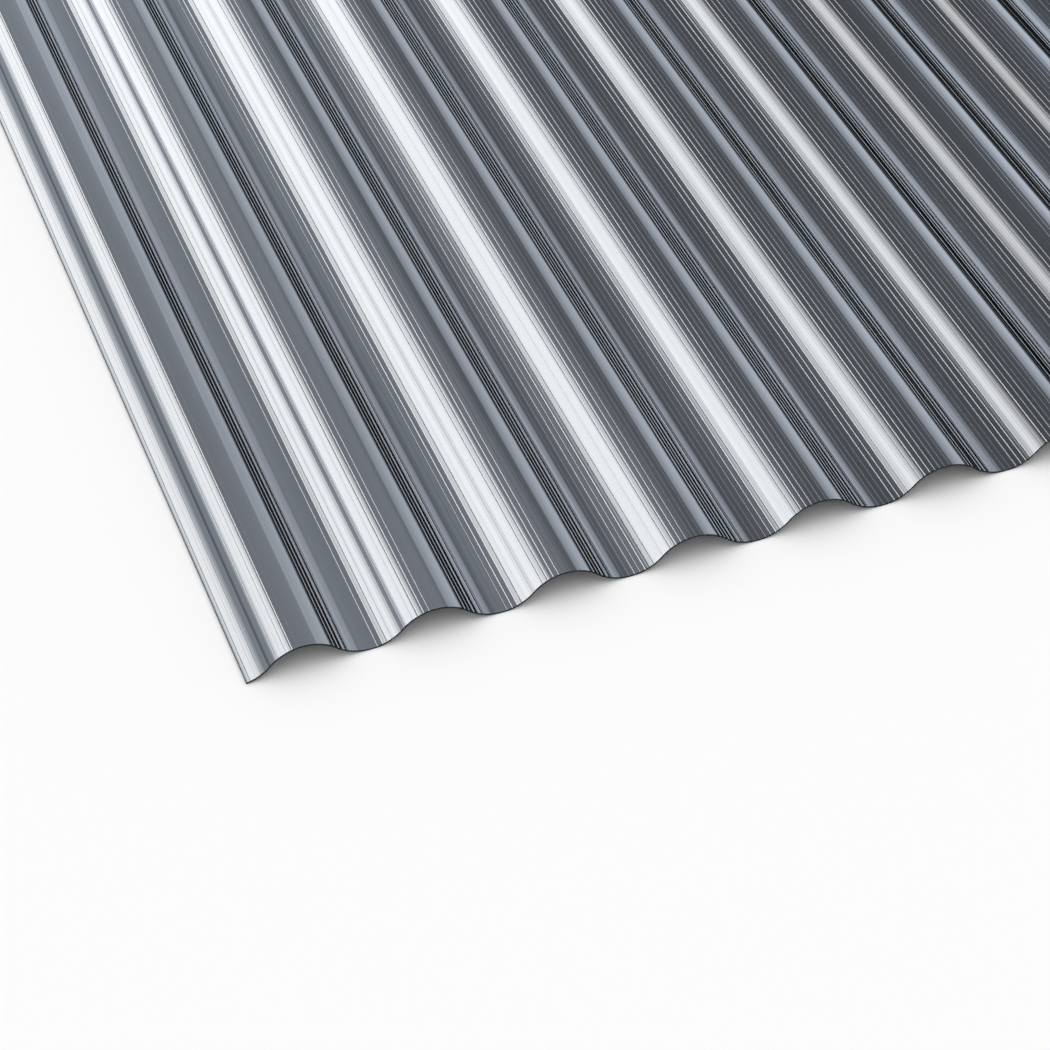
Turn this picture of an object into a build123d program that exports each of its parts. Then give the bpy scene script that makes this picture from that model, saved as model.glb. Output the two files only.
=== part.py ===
from build123d import *
from math import atan, ceil, cos, floor, sin, sqrt
import os

# One corrugated polycarbonate roofing sheet, extruded in one piece.
#
# The sheet lies flat, resting on the undersides of its troughs. X runs across the corrugations, Y along
# them and Z up. The origin is the middle of the rectangle that the sheet covers, at its lowest point.
# Lengths are in millimetres.
#
# The wave isn't a sine: the forming rollers give it round crests and round troughs of one radius, each
# running straight into the next. Its middle line is therefore a chain of equal arcs that share a tangent
# where they meet, and both faces of the wall are the same chain, offset by half the wall.

# Driving dimensions
PITCH = 76.0                 # from crest to crest
DEPTH = 16.0                 # overall, from the lowest point of a trough to the highest point of a crest
WALL = 1.0                   # thickness of the polycarbonate
WIDTH = 860.0                # overall, across the corrugations
LENGTH = 1800.0              # along the corrugations
LEFT_EDGE_PAST_TROUGH = 4.5  # the left edge is slit this far past the middle of a trough
SHORTEST_ARC = 0.01          # a piece of arc shorter than this, left at a slit edge, is dropped

# What follows from them
HALF_PITCH = PITCH / 2
MIDDLE_HEIGHT = DEPTH / 2                     # height of the wave's middle
RISE = (DEPTH - WALL) / 2                     # middle line, from the wave's middle to a crest
STEEPEST = 2 * atan(RISE / (HALF_PITCH / 2))  # slope where a crest runs into a trough, in radians
RADIUS = HALF_PITCH / 2 / sin(STEEPEST)       # of the middle line, at crests and troughs alike
LEFT = -WIDTH / 2
RIGHT = WIDTH / 2
FIRST_TROUGH = LEFT - LEFT_EDGE_PAST_TROUGH   # middle of the trough that the left edge cuts


def bends():
    """The (x, sense) of each bend that the sheet touches: sense is 1 at a crest and -1 at a trough."""
    first = floor((LEFT - FIRST_TROUGH) / HALF_PITCH)
    last = ceil((RIGHT - FIRST_TROUGH) / HALF_PITCH)
    return [(FIRST_TROUGH + n * HALF_PITCH, 1 if n % 2 else -1) for n in range(first, last + 1)]


def bend_arc(x_middle, sense, offset):
    """One bend of the line that lies offset above the middle line, or None where a slit edge leaves none."""
    radius = RADIUS + sense * offset
    reach = radius * sin(STEEPEST)
    z_centre = MIDDLE_HEIGHT - sense * RADIUS * cos(STEEPEST)
    start = max(x_middle - reach, LEFT)
    end = min(x_middle + reach, RIGHT)
    if end - start < SHORTEST_ARC:
        return None

    def point(x):
        return (x, z_centre + sense * sqrt(radius**2 - (x - x_middle) ** 2))

    return ThreePointArc(point(start), point((start + end) / 2), point(end))


def face_line(offset):
    """One face of the wall seen end on, from the left edge to the right, as tangent arcs."""
    arcs = [bend_arc(x, sense, offset) for x, sense in bends()]
    return [arc for arc in arcs if arc is not None]


def section():
    """The sheet's cross-section: both faces of the wall, joined by the two slit edges."""
    top = face_line(WALL / 2)
    underside = face_line(-WALL / 2)
    left_slit = Line(underside[0] @ 0, top[0] @ 0)
    right_slit = Line(top[-1] @ 1, underside[-1] @ 1)
    return make_face(top + underside + [left_slit, right_slit])


def corrugated_sheet():
    """The whole sheet: its section, standing on the XZ plane, run out by half the length both ways."""
    upright = Plane.XZ * section()
    return extrude(upright, amount=LENGTH / 2, both=True)


os.makedirs("parts", exist_ok=True)
sheet = corrugated_sheet()
sheet.label = "corrugated_sheet"
export_step(sheet, "parts/corrugated_sheet.step")
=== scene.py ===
# %% [markdown]
# # A smoke-grey corrugated polycarbonate roofing sheet
#
# The real sheet is one piece: molten polycarbonate leaves a wide flat die, and while it is still soft it
# runs between rollers that press the wave into it. Everything that the eye reads on it comes from three
# things: the wave, the clear glossy skin, and the fine straight lines that the die leaves along it.
#
# The construction model is loaded first, as a fixed frame. It says how wide and how long the sheet is.

# %% Load the frame
import math
import random

import bmesh
import bpy
from mathutils import Matrix, Vector


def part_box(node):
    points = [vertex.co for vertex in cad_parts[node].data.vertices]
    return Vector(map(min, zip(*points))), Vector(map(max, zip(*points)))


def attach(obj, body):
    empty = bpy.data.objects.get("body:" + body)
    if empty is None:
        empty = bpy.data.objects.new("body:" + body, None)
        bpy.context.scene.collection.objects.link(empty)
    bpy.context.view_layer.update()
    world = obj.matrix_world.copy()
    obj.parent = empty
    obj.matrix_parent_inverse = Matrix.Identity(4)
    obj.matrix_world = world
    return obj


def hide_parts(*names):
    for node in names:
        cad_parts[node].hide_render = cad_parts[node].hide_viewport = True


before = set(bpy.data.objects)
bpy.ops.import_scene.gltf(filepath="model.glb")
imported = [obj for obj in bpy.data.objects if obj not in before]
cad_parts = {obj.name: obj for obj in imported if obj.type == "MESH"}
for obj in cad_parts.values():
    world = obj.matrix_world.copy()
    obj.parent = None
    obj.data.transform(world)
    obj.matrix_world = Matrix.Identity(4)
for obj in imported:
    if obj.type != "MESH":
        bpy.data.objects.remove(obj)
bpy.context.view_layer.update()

low, high = (Vector(corner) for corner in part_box("corrugated_sheet"))
print("sheet from", tuple(low), "to", tuple(high))

# %% [markdown]
# ## The section of the wave
#
# A rolled wave isn't a sine curve. Each crest and each trough is an arc of one radius, and an arc runs
# straight into the next with a shared tangent. The radius follows from the pitch and the depth, so only
# the sizes that a tape measure finds are written down. The frame gives the width and the length.

# %% Sizes of the section, in metres
PITCH = 0.076                 # crest to crest
WALL = 0.001                  # thickness of the sheet
DEPTH = 0.016                 # lowest point of a trough to highest point of a crest
LEFT_EDGE_PAST_TROUGH = 0.0045

half_pitch = PITCH / 2
middle_height = DEPTH / 2
rise = (DEPTH - WALL) / 2
steepest = 2 * math.atan(rise / (half_pitch / 2))
bend_radius = half_pitch / 2 / math.sin(steepest)
first_trough = low.x - LEFT_EDGE_PAST_TROUGH
print(f"bends of {bend_radius * 1000:.2f} mm radius meet at {math.degrees(steepest):.1f} degrees")

# %% [markdown]
# ## Bending the wall
#
# The wall's section could be drawn point by point, but it is easier to bend it as the rollers do. One
# short edge, as long as the wall is thick, stands where two bends meet. `spin` swings it round the centre
# of a trough and leaves a strip of faces behind, and then round the centre of a crest, the other way.
#
# The strip is fine, because each die line needs a few faces across it to catch the light.

# %% Spin one wave of the section
STEPS_IN_A_BEND = 480

section = bmesh.new()
half_wall = Vector((math.sin(steepest), 0, math.cos(steepest))) * (WALL / 2)
join = Vector((first_trough - half_pitch / 2, low.y, middle_height))
edge = section.edges.new([section.verts.new(join + half_wall), section.verts.new(join - half_wall)])
for sense in (-1, 1):
    centre = join + Vector((half_pitch / 2, 0, -sense * bend_radius * math.cos(steepest)))
    swept = bmesh.ops.spin(section, geom=[edge, *edge.verts], cent=centre, axis=(0, 1, 0),
                           angle=sense * 2 * steepest, steps=STEPS_IN_A_BEND, use_duplicate=False)
    edge = next(item for item in swept["geom_last"] if isinstance(item, bmesh.types.BMEdge))
    join.x += half_pitch
print(len(section.faces), "faces in one wave")

# %% [markdown]
# ## Repeating and slitting
#
# The rollers press the same wave again and again, so the wave is duplicated one pitch further on until it
# passes the right edge, and the doubled points are merged. The strip now overshoots both edges, and a
# slitting knife, `bisect_plane`, trims it to width. The width isn't a whole number of waves: the left edge
# is cut just past a trough.

# %% Repeat the wave and trim it
STARTS_BEFORE_TROUGH = 0.25   # of a wave, because the strip starts where two bends meet
MERGE_DISTANCE = 0.00001


def points_in(made):
    """The vertices among the things that an operator made."""
    return [item for item in made["geom"] if isinstance(item, bmesh.types.BMVert)]


one_wave = section.verts[:] + section.edges[:] + section.faces[:]
waves = math.ceil((high.x - first_trough) / PITCH + STARTS_BEFORE_TROUGH)
for n in range(1, waves):
    copied = bmesh.ops.duplicate(section, geom=one_wave)
    bmesh.ops.translate(section, verts=points_in(copied), vec=(n * PITCH, 0, 0))
bmesh.ops.remove_doubles(section, verts=section.verts[:], dist=MERGE_DISTANCE)
for knife_x, outward in ((low.x, -1), (high.x, 1)):
    everything = section.verts[:] + section.edges[:] + section.faces[:]
    bmesh.ops.bisect_plane(section, geom=everything, plane_co=(knife_x, 0, 0),
                           plane_no=(outward, 0, 0), clear_outer=True)
print(waves, "waves,", len(section.faces), "faces in the strip")

# %% [markdown]
# ## Die lines
#
# Evenly spaced nicks in the lips of the die draw straight lines along the whole sheet. No two are quite
# alike, and the skin is so glossy that each one shows as a bright hair. They are about 0.04 mm deep at the
# left edge, and get deeper up to the fourth trough, to 0.1 to 0.2 mm. On the steepest part of a rising
# flank the rollers iron them almost flat, and on a falling flank they press ripples in their place.
#
# A line is a soft groove, a bell curve across the face. `smooth_step` blends the lines in and out where the
# slope changes. A slope is in degrees, and less than 0 where the wave falls from left to right.

# %% How deep the lines are
LINE_SPACING = 0.00319        # along the face
FIRST_LINE = 0.0009           # from the middle of the first trough
LINE_WIDTH = 0.00030
LINE_DEPTH = 0.00009
LEAST_DEPTH = 0.0000035       # of a line that is ironed or rippled away
LINES_START = (-14, 5)        # slopes where they show first and where they are full
IRONED = (24, 36)             # slopes where the ironing starts and where it is full
IRONED_SHARE = 0.85
LINES_MADE = 300              # a few more than the sheet has
UNEVENNESS = (0.7, 1.2)       # of one line against its neighbours
STRENGTH_AT_THE_LEFT = 0.45   # times LINE_DEPTH
LINES_TO_GROW_BY_ONE = 60
MOST_STRENGTH = 1.7           # reached 75 lines from the left

uneven = random.Random(4)
line_strengths = []
for n in range(LINES_MADE):
    grown = min(STRENGTH_AT_THE_LEFT + n / LINES_TO_GROW_BY_ONE, MOST_STRENGTH)
    line_strengths.append(uneven.uniform(*UNEVENNESS) * grown)


def smooth_step(value, start, end):
    """0 before start, 1 after end, and a smooth change between them."""
    share = min(max((value - start) / (end - start), 0.0), 1.0)
    return share * share * (3 - 2 * share)


def line_depth(spacings, slope):
    """How deep the lines are, so many spacings from the first one and at this slope."""
    nearest = round(spacings)
    off_line = (spacings - nearest) * LINE_SPACING / LINE_WIDTH
    groove = line_strengths[nearest] * math.exp(-off_line ** 2)
    kept = smooth_step(slope, *LINES_START) * (1 - IRONED_SHARE * smooth_step(slope, *IRONED))
    return (LEAST_DEPTH + kept * LINE_DEPTH) * groove


print(f"the deepest line is {max(line_strengths) * LINE_DEPTH * 1000:.2f} mm deep")

# %% [markdown]
# ## Ripples
#
# On the falling flanks the rollers leave a row of soft ripples, one between each line and the next. They
# reach a bit further down than up, and break a dark mirror image into stripes. Near the left edge they keep
# to the steepest part of the flank, and are shallower.

# %% How deep the ripples are
RIPPLE_DEPTH = 0.00022
UPPER_RIPPLES = (25, 36)      # slopes downhill where they start and where they are full
LOWER_RIPPLES = (15, 23)
FIFTH_TROUGH = 0.335          # along the face
STEEPER_AT_THE_LEFT = 8       # degrees more at the left edge, less and less up to the fifth trough
SHALLOWER_AT_THE_LEFT = 0.25  # share of the depth, in the same way


def ripple_depth(place, spacings, slope, height):
    """How deep the ripples are at this place along the face, slope and height."""
    ripple = (0.5 - 0.5 * math.cos(2 * math.pi * spacings)) ** 2
    start, full = UPPER_RIPPLES if height > middle_height else LOWER_RIPPLES
    to_the_left = max(0.0, 1 - place / FIFTH_TROUGH)
    steeper = to_the_left * STEEPER_AT_THE_LEFT
    rippled = smooth_step(-slope, start + steeper, full + steeper)
    share_of_depth = 1 - to_the_left * SHALLOWER_AT_THE_LEFT
    return rippled * share_of_depth * RIPPLE_DEPTH * ripple


print(f"the ripples are {RIPPLE_DEPTH * 1000:.2f} mm deep")

# %% [markdown]
# ## Pressing both in
#
# Lines and ripples could be a bump texture, but that would flicker at this size. So they are pressed into
# the top face of the section before it is drawn out. A rib is an edge across the wall. It shows which way
# the wall faces there, and the steps from rib to rib add up to the place along the face, counted from the
# middle of the first trough. The rib's top point moves a little way into the wall, and never out of it.

# %% Press the top face
RIB_TOLERANCE = WALL * 0.02

ribs = [edge for edge in section.edges if abs(edge.calc_length() - WALL) < RIB_TOLERANCE]
ribs.sort(key=lambda edge: edge.verts[0].co.x + edge.verts[1].co.x)
before = None
for rib in ribs:
    under, top = sorted(rib.verts, key=lambda vert: vert.co.z)
    centre = (under.co + top.co) / 2
    outward = (top.co - under.co).normalized()
    if before is None:
        travelled = bend_radius * math.asin((centre.x - first_trough) / bend_radius)
    else:
        travelled += (centre - before).length
    before = centre
    slope = math.degrees(math.atan2(-outward.x, outward.z))
    spacings = (travelled - FIRST_LINE) / LINE_SPACING
    top.co -= outward * (line_depth(spacings, slope) + ripple_depth(travelled, spacings, slope, centre.z))
print(len(ribs), "ribs, the last one", f"{travelled * 1000:.0f} mm along the face from the first trough")

# %% [markdown]
# ## Drawing the sheet out
#
# The haul-off pulls the section out to its length, and a saw cuts it square. Extruding the strip of the
# section does both: the strip itself stays as one cut end, and its copy is the other. The cut faces get
# their own material, and stay flat where the skin is shaded smooth.

# %% Extrude to length
drawn = bmesh.ops.extrude_face_region(section, geom=section.faces[:], use_keep_orig=True)
bmesh.ops.translate(section, verts=points_in(drawn), vec=(0, high.y - low.y, 0))
bmesh.ops.recalc_face_normals(section, faces=section.faces[:])
for face in section.faces:
    sawn_end = abs(face.normal.y) > 0.9
    slit_edge = abs(face.normal.x) > 0.99
    cut = sawn_end or slit_edge
    face.material_index = 1 if cut else 0
    face.smooth = not cut
print(len(section.faces), "faces on the sheet")

# %% [markdown]
# ## The sheet as a piece
#
# The mesh becomes one object. It rides on the part's only body, and the construction model's sheet is
# hidden in its place. Its finish, smoked polycarbonate, is added further on.

# %% Make the object
SHARP_ABOVE = math.radians(60)

sheet_mesh = bpy.data.meshes.new("sheet")
section.to_mesh(sheet_mesh)
section.free()
sheet = bpy.data.objects.new("sheet", sheet_mesh)
bpy.context.scene.collection.objects.link(sheet)
sheet_mesh.set_sharp_from_angle(angle=SHARP_ABOVE)
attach(sheet, "root")
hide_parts("corrugated_sheet")
print("the sheet measures", [round(length, 4) for length in sheet.dimensions], "m")

# %% [markdown]
# ## A little help with nodes
#
# Every material below is a small tree of nodes. The same few groups come again and again: a value moved to
# another range, a sum, a mix of two shaders, and a bump. A short function for each keeps the materials
# short too.

# %% Node helpers
def new_material(name):
    """An empty node material, its tree and its output."""
    material = bpy.data.materials.new(name)
    material.use_nodes = True
    tree = material.node_tree
    tree.nodes.clear()
    return material, tree, tree.nodes.new("ShaderNodeOutputMaterial")


def map_range(tree, value, from_range, to_range):
    """A value moved from one range to another, and kept inside it."""
    node = tree.nodes.new("ShaderNodeMapRange")
    for name, limit in zip(("From Min", "From Max", "To Min", "To Max"), (*from_range, *to_range)):
        node.inputs[name].default_value = limit
    tree.links.new(value, node.inputs["Value"])
    return node.outputs["Result"]


def math_node(tree, operation, *values):
    """A sum on values, which are numbers or other nodes' outputs."""
    node = tree.nodes.new("ShaderNodeMath")
    node.operation = operation
    for socket, value in zip(node.inputs, values):
        if isinstance(value, bpy.types.NodeSocket):
            tree.links.new(value, socket)
        else:
            socket.default_value = value
    return node.outputs[0]


def mix_shaders(tree, share, first, second):
    """Two shaders mixed, with this share of the second."""
    node = tree.nodes.new("ShaderNodeMixShader")
    for socket, value in zip(node.inputs, (share, first, second)):
        tree.links.new(value, socket)
    return node.outputs[0]


def add_bump(tree, shader, height, strength, distance):
    """Tilt a shader's light by a height from 0 to 1 that stands for a distance in metres."""
    node = tree.nodes.new("ShaderNodeBump")
    node.inputs["Strength"].default_value = strength
    node.inputs["Distance"].default_value = distance
    tree.links.new(height, node.inputs["Height"])
    tree.links.new(node.outputs["Normal"], shader.inputs["Normal"])


print("helpers for a new material, a range, a sum, a mix and a bump")

# %% [markdown]
# ## Marks that are drawn out
#
# Most marks on this sheet have one thing in common: the haul-off pulled them lengthwise. So a noise for
# them has many patches across the sheet and few along it. It reads the object's own coordinates, in metres,
# so it stays put on the sheet.

# %% Noise helper
NOISE_RANGE = (0.35, 0.65)    # most values of a noise lie in it


def drawn_out_noise(tree, patches_per_metre, detail, lowest, highest):
    """Noise with so many patches per metre along X, Y and Z, and values between lowest and highest."""
    where = tree.nodes.new("ShaderNodeTexCoord")
    stretch = tree.nodes.new("ShaderNodeMapping")
    stretch.inputs["Scale"].default_value = patches_per_metre
    noise = tree.nodes.new("ShaderNodeTexNoise")
    noise.inputs["Scale"].default_value = 1
    noise.inputs["Detail"].default_value = detail
    tree.links.new(where.outputs["Object"], stretch.inputs["Vector"])
    tree.links.new(stretch.outputs["Vector"], noise.inputs["Vector"])
    return map_range(tree, noise.outputs["Fac"], NOISE_RANGE, (lowest, highest))


print("noise is stretched along Y, the way the sheet is drawn")

# %% [markdown]
# ## Smoked polycarbonate
#
# The plastic is clear with a smoke-grey dye in it. So little light comes back out that what the eye sees is
# almost only the mirror image in the skin, and polycarbonate bends light more than glass does, so that
# image is strong at a low angle. Transmission with a very dark tint gives both.
#
# Three quiet marks keep the mirror from looking computed. The skin's roughness changes in long streaks. The
# sheet is never quite flat between its lines, so a bump a few hundredths of a millimetre high bends the
# edges of the mirror images. And a film of dust lies on it in faint patches.

# %% The skin, its streaks and its dust
STREAK_PATCHES = (240, 1.3, 0)  # per metre along X, Y and Z
STREAK_ROUGHNESS = (0.008, 0.06)
SAG_PATCHES = (30, 3, 0)
SAG_BETWEEN_LINES = 0.00006
DUST_PATCHES = (60, 5, 0)
MOST_DUST = 0.012             # as a share of the mix

polycarbonate, tree, output = new_material("smoked_polycarbonate")
skin = tree.nodes.new("ShaderNodeBsdfPrincipled")
skin.inputs["Base Color"].default_value = (0.0032, 0.0038, 0.0046, 1)
skin.inputs["IOR"].default_value = 1.586
skin.inputs["Transmission Weight"].default_value = 1.0
tree.links.new(drawn_out_noise(tree, STREAK_PATCHES, 3, *STREAK_ROUGHNESS), skin.inputs["Roughness"])
sag = drawn_out_noise(tree, SAG_PATCHES, 1, 0, 1)
add_bump(tree, skin, sag, 1.0, SAG_BETWEEN_LINES)

dust = tree.nodes.new("ShaderNodeBsdfDiffuse")
dust.inputs["Color"].default_value = (0.62, 0.62, 0.60, 1)
dustiness = drawn_out_noise(tree, DUST_PATCHES, 5, 0.0, MOST_DUST)
dusty_skin = mix_shaders(tree, dustiness, skin.outputs[0], dust.outputs[0])
print("roughness from", STREAK_ROUGHNESS[0], "to", STREAK_ROUGHNESS[1], "and at most", MOST_DUST, "dust")

# %% [markdown]
# ## The second mirror image
#
# The steep flanks mirror one another. Light that a glossy face has mirrored at a low angle is polarised,
# and the next flank faces such another way that it sends hardly any of it on. That is why the real sheet
# has near-black stripes. The renderer doesn't follow polarisation, so the material makes up for it: a ray
# that was mirrored once already finds the sheet mostly black.

# %% Dim the second mirror image
POLARISED_LOSS = 0.88

black = tree.nodes.new("ShaderNodeBsdfDiffuse")
black.inputs["Color"].default_value = (0, 0, 0, 1)
light_path = tree.nodes.new("ShaderNodeLightPath")
lost = math_node(tree, "MULTIPLY", light_path.outputs["Is Glossy Ray"], POLARISED_LOSS)
tree.links.new(mix_shaders(tree, lost, dusty_skin, black.outputs[0]), output.inputs["Surface"])
sheet_mesh.materials.append(polycarbonate)
print("a second mirror image keeps", round(1 - POLARISED_LOSS, 2), "of its light")

# %% [markdown]
# ## The sawn edge
#
# Where the saw and the slitting knife cut, the plastic is rough and matt, and one looks into its whole dyed
# width, so it is nearly black. The teeth leave fine chatter across the cut, a few marks to the millimetre.

# %% The sawn edge's material
CHATTER_PATCHES = (2500, 300, 900)
TOOTH_MARK_HEIGHT = 0.00003
TORN_PATCHES = (1500, 300, 600)
TORN_ROUGHNESS = (0.4, 0.7)

sawn, tree, output = new_material("sawn_edge")
cut_skin = tree.nodes.new("ShaderNodeBsdfPrincipled")
cut_skin.inputs["Specular IOR Level"].default_value = 0.1
chatter = drawn_out_noise(tree, CHATTER_PATCHES, 4, 0.0, 1.0)
dye = tree.nodes.new("ShaderNodeValToRGB")
dye.color_ramp.elements[0].color = (0.004, 0.005, 0.006, 1)
dye.color_ramp.elements[1].color = (0.022, 0.025, 0.030, 1)
tree.links.new(chatter, dye.inputs[0])
tree.links.new(dye.outputs[0], cut_skin.inputs["Base Color"])
tree.links.new(drawn_out_noise(tree, TORN_PATCHES, 2, *TORN_ROUGHNESS), cut_skin.inputs["Roughness"])
add_bump(tree, cut_skin, chatter, 0.5, TOOTH_MARK_HEIGHT)
tree.links.new(cut_skin.outputs[0], output.inputs["Surface"])
sheet_mesh.materials.append(sawn)
cuts = sum(1 for face in sheet_mesh.polygons if face.material_index == 1)
print(cuts, "faces are cut ones")

# %% [markdown]
# ## The floor
#
# The sheet lies on plain white paper, which takes its soft shadow. One big square of grid is enough.

# %% Floor
FLOOR_HALF_WIDTH = 30


def add_object(name, shape, material):
    """A mesh object made from this bmesh, at the origin."""
    mesh = bpy.data.meshes.new(name)
    shape.to_mesh(mesh)
    shape.free()
    mesh.materials.append(material)
    made = bpy.data.objects.new(name, mesh)
    bpy.context.scene.collection.objects.link(made)
    return made


paper, tree, output = new_material("floor_paper")
matt = tree.nodes.new("ShaderNodeBsdfDiffuse")
matt.inputs["Color"].default_value = (0.93, 0.93, 0.93, 1)
tree.links.new(matt.outputs[0], output.inputs["Surface"])
shape = bmesh.new()
bmesh.ops.create_grid(shape, x_segments=1, y_segments=1, size=FLOOR_HALF_WIDTH)
floor = add_object("floor", shape, paper)
print("floor", floor.dimensions.x, "m wide")

# %% [markdown]
# ## Plain light
#
# A matt thing shows the light that falls on it, but a glossy thing shows its surroundings. So the world has
# both. For matt surfaces, and for the camera, it is an even white dome at a plain level.

# %% The dome
DOME_STRENGTH = 1.05

world = bpy.data.worlds.new("studio")
bpy.context.scene.world = world
world.use_nodes = True
tree = world.node_tree
tree.nodes.clear()
dome = tree.nodes.new("ShaderNodeBackground")
dome.inputs["Color"].default_value = (1, 1, 1, 1)
dome.inputs["Strength"].default_value = DOME_STRENGTH
print("a white dome of strength", DOME_STRENGTH)

# %% [markdown]
# ## What the gloss mirrors
#
# Glossy rays find a dim studio instead. Its parts run along the waves, as in a long room, so a direction is
# read as the angle that it leans to the right or left, seen from the sheet's end, and a ramp of stops gives
# the brightness there.
#
# The ceiling is dim and even, so the crests and troughs are grey. Low on the right the studio is pale,
# which lights the falling flanks, and right at the horizon it is nearly black, which gives their ripples
# something to break up.

# %% The studio from left to right
COOL = Vector((0.87, 0.97, 1.12))
CEILING = 1.0
BRIGHTEST = 10
# Each stop is an angle in degrees and a brightness.
studio_stops = [(-90, 1.3), (-60, 1.3), (-54, 2.2), (-51, 2.2), (-44, CEILING), (44, CEILING), (49, 2.8),
                (62, 3.6), (76, 3.5), (82, 0.3), (90, 0.15)]


def fill_ramp(ramp, stops, tint, full=1):
    """Put stops of a place and a brightness on a colour ramp, with the brightness full as 1."""
    first, last = stops[0][0], stops[-1][0]
    elements = ramp.color_ramp.elements
    for n, (place, level) in enumerate(stops):
        if n == 0:
            element = elements[0]
        elif n == len(stops) - 1:
            element = elements[-1]
        else:
            element = elements.new((place - first) / (last - first))
        element.color = (*(tint * (level / full)), 1)


direction = tree.nodes.new("ShaderNodeTexCoord")
parts = tree.nodes.new("ShaderNodeSeparateXYZ")
tree.links.new(direction.outputs["Generated"], parts.inputs[0])
lean = math_node(tree, "ARCTAN2", parts.outputs["X"], parts.outputs["Z"])
left_to_right = math_node(tree, "MULTIPLY_ADD", lean, 1 / math.pi, 0.5)
ramp = tree.nodes.new("ShaderNodeValToRGB")
fill_ramp(ramp, studio_stops, COOL, BRIGHTEST)
tree.links.new(left_to_right, ramp.inputs[0])
studio = tree.nodes.new("ShaderNodeBackground")
tree.links.new(ramp.outputs[0], studio.inputs["Color"])
print(len(studio_stops), "stops from left to right")

# %% [markdown]
# ## The ends of the studio
#
# The room ends some way past both ends of the sheet, so low down in those directions it fades. How far a
# direction points along the sheet is its share of Y, forwards or back: 0 is straight up or to a side, and
# 1 is level along the waves.

# %% The studio along the sheet, and the world's output
NO_TINT = Vector((1, 1, 1))
end_stops = [(0, 0.9), (0.70, 0.9), (0.745, 0.97), (0.78, 0.80), (0.83, 0.72), (0.90, 0.66), (0.97, 0.15),
             (1, 0.15)]

along_sheet = math_node(tree, "ABSOLUTE", parts.outputs["Y"])
fading = tree.nodes.new("ShaderNodeValToRGB")
fill_ramp(fading, end_stops, NO_TINT)
tree.links.new(along_sheet, fading.inputs[0])
strength = math_node(tree, "MULTIPLY", fading.outputs[0], BRIGHTEST)
tree.links.new(strength, studio.inputs["Strength"])

ray = tree.nodes.new("ShaderNodeLightPath")
either = mix_shaders(tree, ray.outputs["Is Glossy Ray"], dome.outputs[0], studio.outputs[0])
world_output = tree.nodes.new("ShaderNodeOutputWorld")
tree.links.new(either, world_output.inputs["Surface"])
print(len(end_stops), "stops along the sheet")

# %% [markdown]
# ## A light that fades
#
# Two lights stand so near the sheet that each wave sees them at another angle, so they can't be in the
# world. Each is a sheet of glowing, clear stuff. It fades from edge to edge, and a little towards the far
# end too: a low mirror image is stronger, so without that it would grow too bright there.

# %% The light's material
FULL_UP_TO = -0.6             # along Y
WEAKEST_FROM = 0.3


def fading_light(name, axis, stops, tint, strength, far_share):
    """A clear glow with stops along an axis, which sinks to a far share of its strength along Y."""
    veil, tree, output = new_material(name)
    where = tree.nodes.new("ShaderNodeTexCoord")
    parts = tree.nodes.new("ShaderNodeSeparateXYZ")
    tree.links.new(where.outputs["Object"], parts.inputs[0])
    fade = tree.nodes.new("ShaderNodeValToRGB")
    fill_ramp(fade, stops, tint)
    across = map_range(tree, parts.outputs[axis], (stops[0][0], stops[-1][0]), (0, 1))
    tree.links.new(across, fade.inputs[0])
    glow = tree.nodes.new("ShaderNodeEmission")
    tree.links.new(fade.outputs[0], glow.inputs["Color"])
    sinking = (strength, strength * far_share)
    tree.links.new(map_range(tree, parts.outputs["Y"], (FULL_UP_TO, WEAKEST_FROM), sinking),
                   glow.inputs["Strength"])
    clear = tree.nodes.new("ShaderNodeBsdfTransparent")
    both = tree.nodes.new("ShaderNodeAddShader")
    tree.links.new(glow.outputs[0], both.inputs[0])
    tree.links.new(clear.outputs[0], both.inputs[1])
    tree.links.new(both.outputs[0], output.inputs["Surface"])
    return veil


print("lights lose strength between", FULL_UP_TO, "and", WEAKEST_FROM, "m along Y")

# %% [markdown]
# ## A soft box
#
# The light's shape is a flat sheet along the waves, made by extruding one edge. It shows only in the gloss.
# It throws no light or shadow on matt things, so the plain dome stays the only lamp.

# %% Soft box helper
def soft_box(name, near_edge, far_edge, y_span, light):
    """A flat sheet of this light between two edges, from the first to the last place of y_span."""
    shape = bmesh.new()
    edge = shape.edges.new([shape.verts.new(near_edge), shape.verts.new(far_edge)])
    widened = bmesh.ops.extrude_edge_only(shape, edges=[edge])
    bmesh.ops.translate(shape, verts=points_in(widened), vec=(0, y_span[1] - y_span[0], 0))
    bmesh.ops.translate(shape, verts=shape.verts[:], vec=(0, y_span[0], 0))
    box = add_object(name, shape, light)
    box.visible_camera = False
    box.visible_diffuse = False
    box.visible_transmission = False
    box.visible_shadow = False
    print(name, "is", round(box.dimensions.y, 2), "m long")


# %% [markdown]
# ## The tall soft box
#
# It stands close to the left edge, leaning back. The rising flanks mirror it as broad white bands, which
# get narrower from wave to wave. Its glow rises quickly above its lower edge, and fades slowly towards its
# top.

# %% Place the tall soft box
PAPER_WHITE = Vector((0.985, 1.0, 1.0))
# Each stop is a height in metres and a share of the strength.
tall_stops = [(0.078, 0.0), (0.115, 0.42), (0.15, 0.80), (0.30, 0.88), (0.38, 0.95), (0.46, 0.76),
              (0.55, 0.72), (0.70, 0.66), (0.82, 0.58), (0.95, 0.46), (1.10, 0.24), (1.25, 0.06),
              (1.40, 0.0)]

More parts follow.
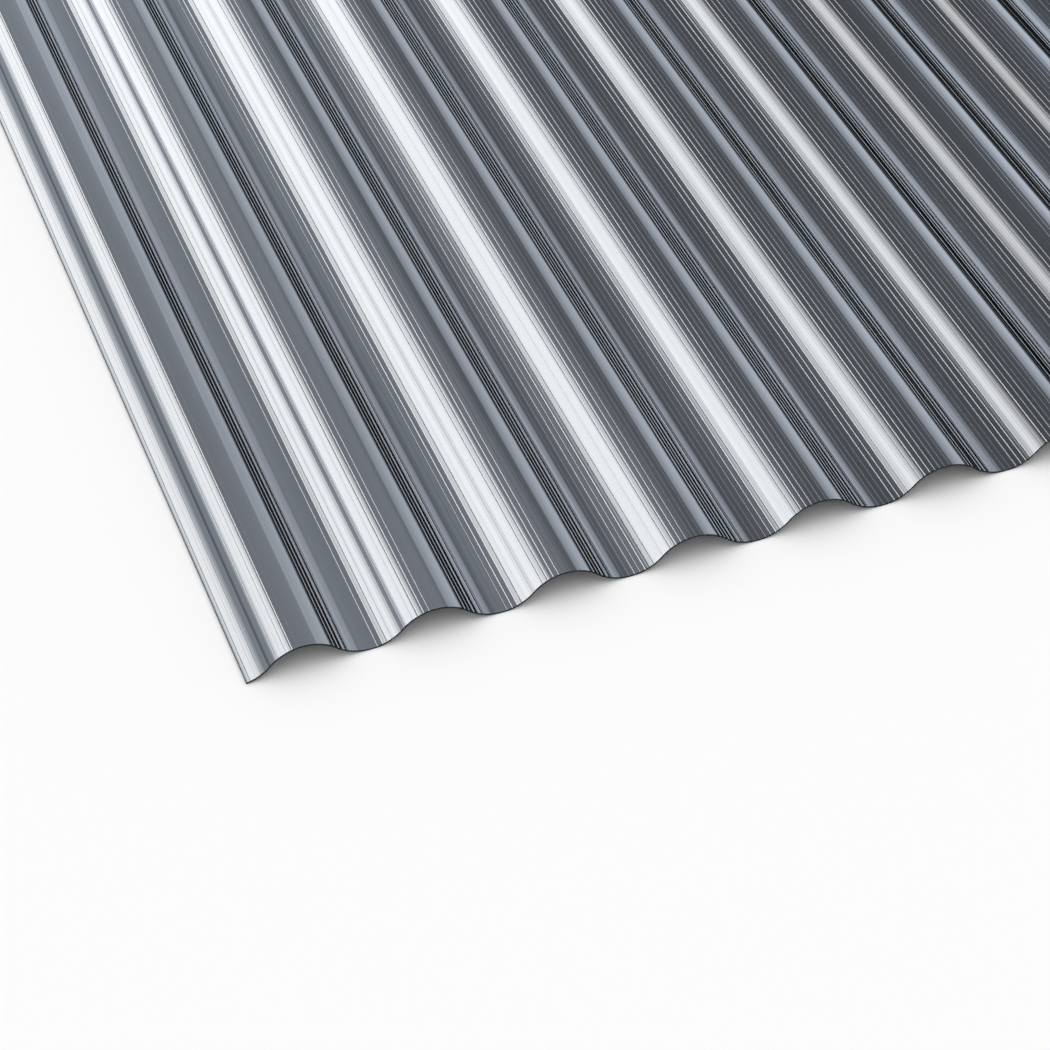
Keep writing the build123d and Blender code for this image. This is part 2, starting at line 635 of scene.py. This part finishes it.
tall_light = fading_light("tall_box", "Z", tall_stops, PAPER_WHITE, strength=10.9, far_share=0.78)
soft_box("tall_box", (-0.53, 0, 0.078), (-0.66, 0, 1.4), (-1.3, 3.4), tall_light)

# %% [markdown]
# ## The low veil
#
# A dim veil hangs low over the left half, and lifts the greys there. It lies level, and fades out towards
# the middle of the sheet.

# %% Place the low veil
# Each stop is a place along X in metres and a share of the strength.
veil_stops = [(-1.1, 0.0), (-0.9, 1.0), (-0.22, 1.0), (-0.165, 0.75), (-0.125, 0.32), (-0.06, 0.12),
              (0.02, 0.0)]

veil_light = fading_light("low_veil", "X", veil_stops, COOL, strength=1.45, far_share=0.85)
soft_box("low_veil", (-1.1, 0, 0.2), (0.02, 0, 0.2), (-1.6, 2.4), veil_light)

# %% [markdown]
# ## The camera
#
# It stands at the sheet's near end, a bit to the left, and looks down along the waves through a long lens,
# tipped a little so that the near corner points down and to the left.

# %% Camera
CAMERA_AT = Vector((-0.6735, -2.3706, 1.2909))
CAMERA_AIM = Vector((-0.2488, -0.8421, 0.008))
CAMERA_ROLL = math.radians(-5.54)
FRAME_WIDTH = 1050            # in pixels
FOCAL_LENGTH = 3612.4         # in the same pixels
SENSOR = 36                   # in millimetres, as the lens is
LENS = FOCAL_LENGTH / FRAME_WIDTH * SENSOR
SEES_UP_TO = 100

camera_data = bpy.data.cameras.new("camera")
camera_data.sensor_width = SENSOR
camera_data.lens = LENS
camera_data.clip_end = SEES_UP_TO
camera = bpy.data.objects.new("camera", camera_data)
bpy.context.scene.collection.objects.link(camera)
look = (CAMERA_AIM - CAMERA_AT).to_track_quat("-Z", "Y").to_matrix().to_4x4()
camera.matrix_world = Matrix.Translation(CAMERA_AT) @ look @ Matrix.Rotation(CAMERA_ROLL, 4, "Z")
bpy.context.scene.camera = camera
print("lens", round(LENS), "mm,", round((CAMERA_AIM - CAMERA_AT).length, 2), "m from the point it looks at")

# %% [markdown]
# ## Finish
#
# The picture's colours go out through the standard view transform, as they are. The visual model must
# fill the same box as the construction model.

# %% Finish
bpy.context.scene.view_settings.view_transform = "Standard"
